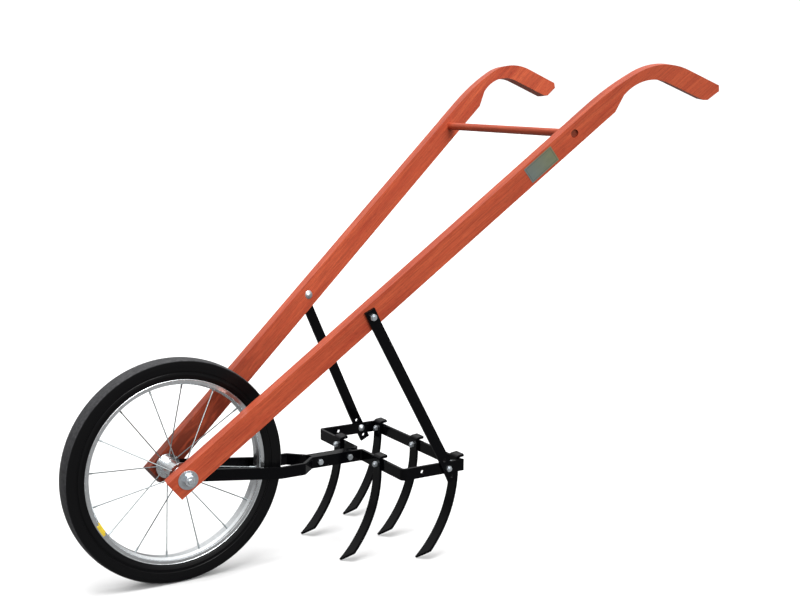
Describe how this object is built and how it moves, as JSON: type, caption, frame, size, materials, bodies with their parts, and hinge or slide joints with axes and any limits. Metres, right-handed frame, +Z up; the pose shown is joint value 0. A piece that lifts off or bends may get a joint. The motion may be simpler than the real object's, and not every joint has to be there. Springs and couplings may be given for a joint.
{
  "type": "hand push wheel cultivator",
  "caption": "Hand push garden cultivator with a spoked front wheel, two splayed wooden plow handles and a bolted flat-bar gang of curved spring-steel tines.",
  "frame": {"origin": "on the ground, midway between the front of the tyre and the lower corner of the grips, in the middle plane of the wheel", "axes": "+X back from the wheel to the grips, +Y to the right of a person who pushes it, +Z up"},
  "size_m": [1.5216, 0.6604, 1.1476],
  "materials": {
    "tyre_rubber": "satin grey-black rubber",
    "bright_rim": "bright plated steel",
    "zinc_steel": "bright zinc plate",
    "bearing_steel": "ground hard steel",
    "black_paint": "gloss black",
    "stained_wood": "red-orange lacquered hardwood",
    "yellow_label": "satin printed film, blank",
    "grey_label": "satin metallic film, blank"
  },
  "bodies": {
    "frame": {"axle_rod": "zinc_steel", "axle_nuts": "zinc_steel", "axle_washers": "zinc_steel", "bar_washers": "zinc_steel", "bearing_cone_left": "bearing_steel", "bearing_cone_right": "bearing_steel", "axle_spacers": "zinc_steel", "frame_bar_left": "black_paint", "frame_bar_right": "black_paint", "tongue_spacer": "black_paint", "tongue_bolts": "zinc_steel", "tongue_nuts": "zinc_steel", "rear_crossbar": "black_paint", "tine_front_left": "black_paint", "tine_front_right": "black_paint", "tine_rear_left": "black_paint", "tine_rear_centre": "black_paint", "tine_rear_right": "black_paint", "tine_bolts": "zinc_steel", "tine_nuts": "zinc_steel", "brace_left": "black_paint", "brace_right": "black_paint", "brace_handle_bolts": "zinc_steel", "brace_handle_nuts": "zinc_steel", "brace_frame_bolts": "zinc_steel", "brace_frame_nuts": "zinc_steel", "handle_left": "stained_wood", "handle_right": "stained_wood", "cross_rung": "stained_wood", "handle_label": "grey_label"},
    "wheel": {"tyre": "tyre_rubber", "rim": "bright_rim", "rim_label": "yellow_label", "spokes_left": "zinc_steel", "spokes_right": "zinc_steel", "spoke_nipples": "zinc_steel", "hub_barrel": "bright_rim", "hub_flange_left": "bright_rim", "hub_flange_right": "bright_rim", "bearing_cup_left": "bearing_steel", "bearing_cup_right": "bearing_steel"},
    "left_ball_ring": {"bearing_balls_left": "bearing_steel", "ball_cage_left": "zinc_steel"},
    "right_ball_ring": {"bearing_balls_right": "bearing_steel", "ball_cage_right": "zinc_steel"}
  },
  "joints": [
    {"name": "wheel_spin", "type": "hinge", "parent": "frame", "child": "wheel", "pos_m": [-0.50832, 0, 0.2525], "axis": [0, 1, 0], "continuous": true},
    {"name": "left_ball_ring_spin", "type": "hinge", "parent": "frame", "child": "left_ball_ring", "pos_m": [-0.50832, -0.0352, 0.2525], "axis": [0, 1, 0], "continuous": true},
    {"name": "right_ball_ring_spin", "type": "hinge", "parent": "frame", "child": "right_ball_ring", "pos_m": [-0.50832, 0.0352, 0.2525], "axis": [0, 1, 0], "continuous": true}
  ],
  "couplings": [
    {"joint": "left_ball_ring_spin", "follows": "wheel_spin", "ratio": 0.6394},
    {"joint": "right_ball_ring_spin", "follows": "wheel_spin", "ratio": 0.6394}
  ]
}
